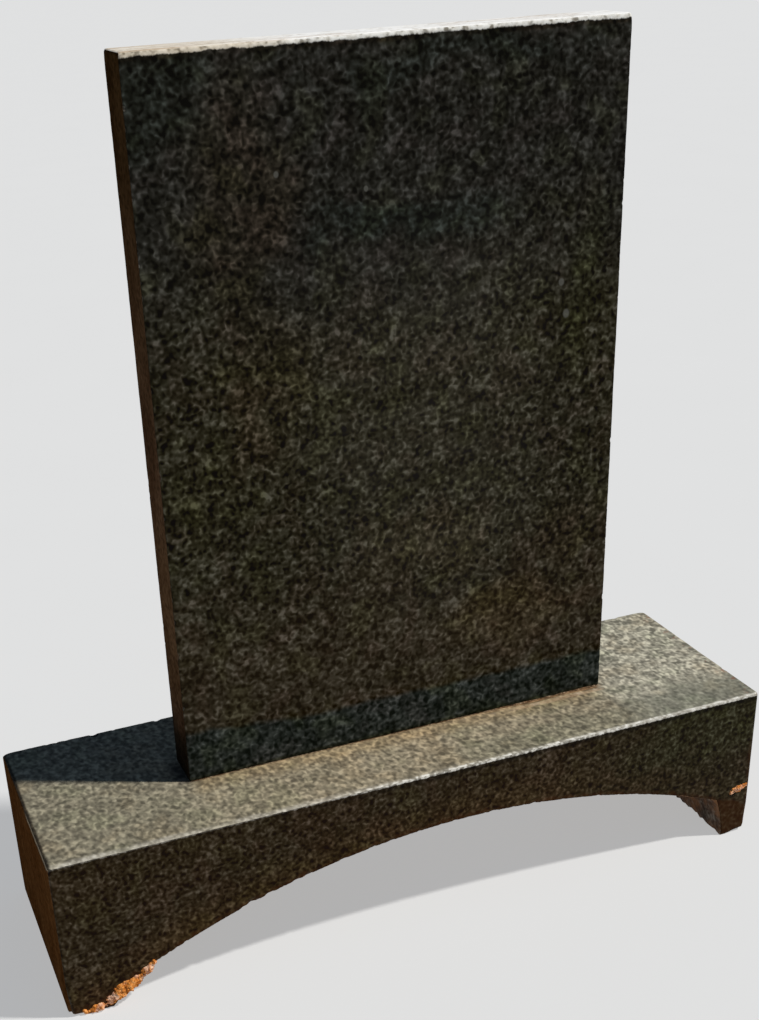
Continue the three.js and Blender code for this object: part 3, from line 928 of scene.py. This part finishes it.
# underside: profile length by depth, seen from below
nd = samples(D)
dy = np.arange(nd) / nd * D
S = run[-1]
loop = np.concatenate([
    np.stack([dy * 0, dy], 1), np.stack([s_at[:-1], np.full(ns, D)], 1), np.stack([np.full(nd, S), D - dy], 1), np.stack([s_at[::-1][:-1], np.zeros(ns)], 1),
])[::-1]
strip_p, strip_t = patch(loop, np.array([(0, 0), (S, 0), (S, D), (0, D)], float), 0.0085, rng)
sp = on_profile(strip_p[:, 0])
base.add(np.stack([sp[:, 0], by0 + strip_p[:, 1], sp[:, 1]], 1), [(a, c, b) for a, b, c in strip_t], "base_under")

p = np.array(base.points)
p0 = p.copy()
# each point's depth above the underside's profile, and the way into the stone there
fine_s = np.linspace(0, run[-1], 1600)
fine = on_profile(fine_s)
fine_n = profile_normal(fine_s)
depth_b = np.full(len(p), 1.0)
way_b = np.tile(ez, (len(p), 1))
low = np.where(p[:, 2] < ARCH_CROWN + 0.03)[0]
for start in range(0, len(low), 4000):
    idx = low[start : start + 4000]
    d2 = (p[idx, 0:1] - fine[None, :, 0]) ** 2 + (p[idx, 2:3] - fine[None, :, 1]) ** 2
    k = d2.argmin(1)
    depth_b[idx] = np.sqrt(d2[np.arange(len(idx)), k])
    way_b[idx] = np.stack([fine_n[k, 0], 0 * k, fine_n[k, 1]], 1)
on_under = depth_b < 4e-4
inner = (np.abs(np.abs(p[:, 1]) - D / 2) > 1e-7) & (np.abs(np.abs(p[:, 0]) - bx1) > 1e-7)
depth_b = np.where(on_under & inner, 0.0, depth_b)
depth_b = np.where(depth_b < 5e-5, 0.0, depth_b)
coords = [D / 2 - np.abs(p[:, 1]), bx1 - np.abs(p[:, 0]), bz1 - p[:, 2], depth_b]
dirs = [-np.sign(p[:, 1:2]) * ey, -np.sign(p[:, 0:1]) * ex, np.tile(-ez, (len(p), 1)), way_b]
d_f, d_b, d_l, d_r, d_t = p[:, 1] - by0, by1 - p[:, 1], p[:, 0] - bx0, bx1 - p[:, 0], bz1 - p[:, 2]
jag = fbm(p0, 0.060, 3, 71) + 0.5 * noise3(p0, 0.010, 72)
along = smooth(p0[:, 0], -0.30, 0.10)
toe = smooth(np.abs(p0[:, 0]), 0.462, 0.490)
low_end = smooth(-p0[:, 2], -0.050, -0.008)
radius = edge_radius(np.clip(0.0019 + 0.0012 * jag, 0.0010, 0.0045), [
    (d_f, d_t, np.clip(0.0017 + 0.0019 * along + 0.0008 * jag, 0.0010, 0.0048)),
    (d_l, d_t, np.clip(0.0040 + 0.0014 * jag, 0.0024, 0.0060)),
    (d_r, d_t, np.clip(0.0028 + 0.0010 * jag, 0.0015, 0.0045)),
    (d_b, d_r, 0.0095), (d_b, d_l, 0.0060 + 0.005 * low_end), (d_f, d_l, 0.0034 + 0.0090 * low_end), (d_f, d_r, 0.0042 + 0.005 * low_end),
    (d_l, depth_b, 0.0130), (d_r, depth_b, 0.0090), (d_f, depth_b, 0.0020 + 0.0085 * toe), (d_b, depth_b, 0.0024 + 0.0060 * toe),
])
p, moved = round_edges(p, coords, dirs, radius)
near_edge = np.sort(np.stack(coords, 1), axis=1)[:, 1]
fade = np.clip(near_edge / 0.003, 0, 1)
# relief: fine on the weathered top, coarse and tooled on the underside
on_top = np.abs(p0[:, 2] - bz1) < 1e-7
top_relief = np.abs(fbm(p0, 0.016, 4, 11)) * 0.00055 + np.abs(noise3(p0, 0.006, 12)) * 0.00020
hidden = (p0[:, 0] > sx0 + 0.004) & (p0[:, 0] < sx1 - 0.004) & (np.abs(p0[:, 1]) < T / 2 - 0.004)
p[:, 2] -= np.where(on_top & ~hidden, top_relief * fade, 0)
under = (depth_b == 0.0) & inner & (p0[:, 2] > 0.0008)
rough = (fbm(p0, 0.045, 3, 21) * 0.0020 + fbm(p0, 0.014, 3, 22) * 0.0012) * fade
p += np.where(under, rough, 0)[:, None] * way_b

base_chips = []
front_top = [(80, (0.0004, 0.0011), (0.0030, 0.0085)), (9, (0.0009, 0.0015), (0.006, 0.014))]
other_top = [(55, (0.0004, 0.0011), (0.0030, 0.0085)), (7, (0.0010, 0.0017), (0.006, 0.016))]
uprights = [(45, (0.0006, 0.0016), (0.0030, 0.0080)), (8, (0.0012, 0.0026), (0.006, 0.014)), (1.0, (0.0025, 0.0045), (0.012, 0.022))]
arch_edge = [(70, (0.0005, 0.0016), (0.0030, 0.0100)), (12, (0.0012, 0.0026), (0.007, 0.018)), (1.5, (0.0020, 0.0034), (0.014, 0.028))]
for ys_ in (by0, by1):
    o = np.array([0, np.sign(ys_), 1]) * root2
    base_chips += chips_on(np.array([(bx0, ys_, bz1), (bx1, ys_, bz1)]), [o, o], rng, front_top if ys_ < 0 else other_top)
for xs_ in (bx0, bx1):
    o = np.array([np.sign(xs_), 0, 1]) * root2
    base_chips += chips_on(np.array([(xs_, by0, bz1), (xs_, by1, bz1)]), [o, o], rng, other_top)
    for ys_ in (by0, by1):
        o = np.array([np.sign(xs_), np.sign(ys_), 0]) * root2
        base_chips += chips_on(np.array([(xs_, ys_, 0.006), (xs_, ys_, bz1)]), [o, o], rng, uprights)
        base_chips.append(chip_at((xs_, ys_, bz1), (np.sign(xs_), np.sign(ys_), 1), 0.0042, 0.011))
# a notch in the back arris, left of the slab
base_chips += [chip_at((-0.373, by1, bz1), (0.1, 0.8, 1.0), 0.0030, 0.0095)]
arch_pts = profile[(profile[:, 1] > 0.002)]
arch_s = s_at[(profile[:, 1] > 0.002)]
arch_n = profile_normal(arch_s)
for ys_ in (by0, by1):
    line = np.stack([arch_pts[:, 0], np.full(len(arch_pts), ys_), arch_pts[:, 1]], 1)
    outs = np.stack([-arch_n[:, 0] * root2, np.full(len(arch_pts), np.sign(ys_) * root2), -arch_n[:, 1] * root2], 1)
    base_chips += chips_on(line, outs, rng, arch_edge)
p, cut = cut_chips(p, base_chips, 900)
# the feet stand flat
standing = (p0[:, 2] < 1e-7) & (near_edge > 0.008)
p[standing, 2] = 0.0
p[:, 2] = np.maximum(p[:, 2], 0.0)
wear = np.clip(moved / 0.0011, 0, 1) * 0.55 + np.clip(cut / 0.0004, 0, 1) * 0.70
wear *= np.clip((p0[:, 2] - 0.13) / 0.06, 0.25, 1.0)
base_obj = stone_object("base_stone", base, p, wear, ["base_face", "base_side", "base_top", "base_under"])
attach(base_obj, "root")
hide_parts("base_block")

# ------------------------------------------------------------------ squeezed-out mortar and grit along the slab's front foot


def bead(name, x0, x1, y_face, z_top, seed):
    """A low irregular fillet between the slab's face and the base's top, closed and let a little into both."""
    n = int((x1 - x0) / 0.0011)
    X = np.linspace(x0, x1, n + 1)
    line = np.stack([X, 0 * X, 0 * X], 1)
    t = (X - x0) / (x1 - x0)
    strong = 0.15 + 0.85 * smooth(t, 0.60, 0.90)
    k = np.clip(0.5 + 0.9 * fbm(line, 0.030, 3, 55), 0.0, 1.0)
    k2 = np.clip(0.5 + 1.0 * fbm(line, 0.007, 2, 57), 0.0, 1.0)
    end = np.clip(np.minimum(X - x0, x1 - X) / 0.006, 0.1, 1)
    w = (0.0005 + (0.0013 * k + 0.0011 * k2) * strong) * end
    h = (0.0003 + (0.0008 * k + 0.0008 * k2) * strong) * end
    rows = 7
    verts = []
    for j in range(rows):
        u = j / (rows - 1)
        yy = y_face - w * (1 - u) ** 1.5
        zz = z_top + h * u**1.5
        at = np.stack([X, yy * 3, zz * 3], 1)
        b = 0.00035 * math.sin(math.pi * u) * (1 + noise3(at, 0.0028, seed) + 0.7 * noise3(at, 0.0012, seed + 3))
        verts.append(np.stack([X, yy - b, zz + b * 0.8], 1))
    verts.append(np.stack([X, 0 * X + y_face + 0.0004, z_top + h], 1))
    verts.append(np.stack([X, 0 * X + y_face + 0.0004, 0 * X + z_top - 0.0006], 1))
    verts.append(np.stack([X, y_face - w, 0 * X + z_top - 0.0006], 1))
    m = len(verts)
    verts = np.stack(verts, 1).reshape(-1, 3)
    faces = [(i * m + j, i * m + (j + 1) % m, (i + 1) * m + (j + 1) % m, (i + 1) * m + j) for i in range(n) for j in range(m)]
    faces.append(tuple(range(m))[::-1])
    faces.append(tuple(n * m + j for j in range(m)))
    faces = [f[::-1] for f in faces]
    return new_object(name, verts, faces, ["mortar"])


mortar = bead("joint_mortar_line", sx0 + 0.001, sx1 - 0.001, sy0, bz1, 60)
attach(mortar, "root")

# ------------------------------------------------------------------ soil stuck to the feet


def crust(name, path, depth_in, seed, step=0.0009):
    """A crumbly crust on the front face. path: [(x, z, half width, thickness)] along its middle. Closed, with its back inside the stone."""
    P = np.array(path, float)
    lo, hi = P[:, :2].min(0) - 0.014, P[:, :2].max(0) + 0.014
    lo[1] = max(lo[1], 0.0)
    nx_, nz_ = int((hi[0] - lo[0]) / step), int((hi[1] - lo[1]) / step)
    gx, gz = np.meshgrid(lo[0] + np.arange(nx_ + 1) * step, lo[1] + np.arange(nz_ + 1) * step, indexing="ij")
    q = np.stack([gx.ravel(), gz.ravel()], 1)
    body = np.full(len(q), -1.0)
    for a, b in zip(P[:-1], P[1:]):
        ab = b[:2] - a[:2]
        t = np.clip(((q - a[:2]) @ ab) / (ab @ ab), 0, 1)
        dist = np.linalg.norm(q - a[:2] - t[:, None] * ab, axis=1)
        hw = a[2] + (b[2] - a[2]) * t
        th = a[3] + (b[3] - a[3]) * t
        body = np.maximum(body, np.where(hw > 1e-5, th * (1 - (dist / np.maximum(hw, 1e-5)) ** 2), -0.004))
    at = np.stack([q[:, 0], 0 * q[:, 0], q[:, 1]], 1)
    lumps = fbm(at, 0.0075, 2, seed) * 0.0030 + np.abs(noise3(at, 0.0034, seed + 5)) * 0.0022 + noise3(at, 0.0016, seed + 9) * 0.0007
    thick = body + lumps - 0.0012
    thick = np.clip(thick, -0.0006, 0.0075)
    use = (thick > 0.0).reshape(gx.shape)
    cell = use[:-1, :-1] | use[1:, :-1] | use[:-1, 1:] | use[1:, 1:]
    # no two cells that touch only at a corner
    for _ in range(3):
        diag1 = cell[:-1, :-1] & cell[1:, 1:] & ~cell[1:, :-1] & ~cell[:-1, 1:]
        diag2 = cell[1:, :-1] & cell[:-1, 1:] & ~cell[:-1, :-1] & ~cell[1:, 1:]
        cell[1:, :-1] |= diag1
        cell[:-1, :-1] |= diag2
    wob_x = noise3(at, 0.0021, seed + 11) * step * 0.35
    wob_z = noise3(at, 0.0021, seed + 12) * step * 0.35
    front = np.stack([q[:, 0] + wob_x, by0 - thick, np.maximum(q[:, 1] + wob_z, 0.0)], 1)
    rear = np.stack([q[:, 0], np.full(len(q), by0 + depth_in), q[:, 1]], 1)
    N = len(q)
    J = nz_ + 1
    faces = []
    ci, cj = np.where(cell)
    filled = set(zip(ci.tolist(), cj.tolist()))
    for i, j in filled:
        a, b, c, d = i * J + j, (i + 1) * J + j, (i + 1) * J + j + 1, i * J + j + 1
        faces.append((a, b, c, d))
        faces.append((N + d, N + c, N + b, N + a))
        for (di, dj), (u, v) in (((0, -1), (a, b)), ((1, 0), (b, c)), ((0, 1), (c, d)), ((-1, 0), (d, a))):
            if (i + di, j + dj) not in filled:
                faces.append((v, u, N + u, N + v))
    verts = np.concatenate([front, rear])
    used = np.unique(np.array(faces).ravel())
    renum = np.full(2 * N, -1)
    renum[used] = np.arange(len(used))
    return new_object(name, verts[used], [tuple(int(renum[k]) for k in f) for f in faces], ["soil"])


soil_left = crust("soil_on_left_foot", [
    (-0.476, 0.003, 0.0045, 0.0022), (-0.462, 0.005, 0.0055, 0.0030), (-0.450, 0.008, 0.0060, 0.0030), (-0.438, 0.014, 0.0095, 0.0048),
    (-0.424, 0.023, 0.0105, 0.0055), (-0.410, 0.030, 0.0080, 0.0045), (-0.401, 0.035, 0.0040, 0.0018), (-0.393, 0.042, 0.0060, 0.0034), (-0.386, 0.050, 0.0050, 0.0026),
], 0.006, 7)
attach(soil_left, "root")
soil_right = crust("soil_on_right_foot", [
    (0.470, 0.070, 0.0040, 0.0012), (0.478, 0.073, 0.0048, 0.0022), (0.490, 0.077, 0.0036, 0.0016),
], 0.003, 9)
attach(soil_right, "root")

# ------------------------------------------------------------------ floor and light

floor_mesh = bpy.data.meshes.new("floor")
floor_mesh.from_pydata([(-30, -30, 0), (30, -30, 0), (30, 30, 0), (-30, 30, 0)], [], [(0, 1, 2, 3)])
floor = bpy.data.objects.new("floor", floor_mesh)
bpy.context.scene.collection.objects.link(floor)
fn = Nodes("floor_pale")
ff = fn.noise(fn.coord, 3.0, 2.0, 0.5)
floor_mesh.materials.append(fn.finish(fn.mix(ff, (0.326, 0.325, 0.321), (0.338, 0.337, 0.332)), 0.9, None, 0.05))
fn.bsdf.inputs["Emission Color"].default_value = (1.0, 0.998, 0.99, 1.0)
fn.bsdf.inputs["Emission Strength"].default_value = 0.42

elev = math.radians(50)
travel = Vector((-0.91 * math.cos(elev), 0.414 * math.cos(elev), -math.sin(elev)))
key_data = bpy.data.lights.new("key", "SUN")
key_data.energy = 3.75
key_data.angle = math.radians(3.0)
key_data.color = (1.0, 0.985, 0.955)
key = bpy.data.objects.new("key", key_data)
bpy.context.scene.collection.objects.link(key)
key.rotation_mode = "QUATERNION"
key.rotation_quaternion = travel.to_track_quat("-Z", "Y")

world = bpy.data.worlds.new("soft_world")
bpy.context.scene.world = world
world.use_nodes = True
wt = world.node_tree
wt.nodes.clear()
wout = wt.nodes.new("ShaderNodeOutputWorld")
wmix = wt.nodes.new("ShaderNodeMixShader")
wpath = wt.nodes.new("ShaderNodeLightPath")
dim = wt.nodes.new("ShaderNodeBackground")
dim.inputs["Color"].default_value = (0.437, 0.644, 1.0, 1.0)
dim.inputs["Strength"].default_value = 0.162
pale = wt.nodes.new("ShaderNodeBackground")
pale.inputs["Color"].default_value = (0.75, 0.75, 0.745, 1.0)
pale.inputs["Strength"].default_value = 1.0
wt.links.new(wpath.outputs["Is Camera Ray"], wmix.inputs[0])
wt.links.new(dim.outputs[0], wmix.inputs[1])
wt.links.new(pale.outputs[0], wmix.inputs[2])
wt.links.new(wmix.outputs[0], wout.inputs["Surface"])

bpy.context.scene.view_settings.view_transform = "Standard"
bpy.context.scene.view_settings.look = "None"

bpy.context.view_layer.update()
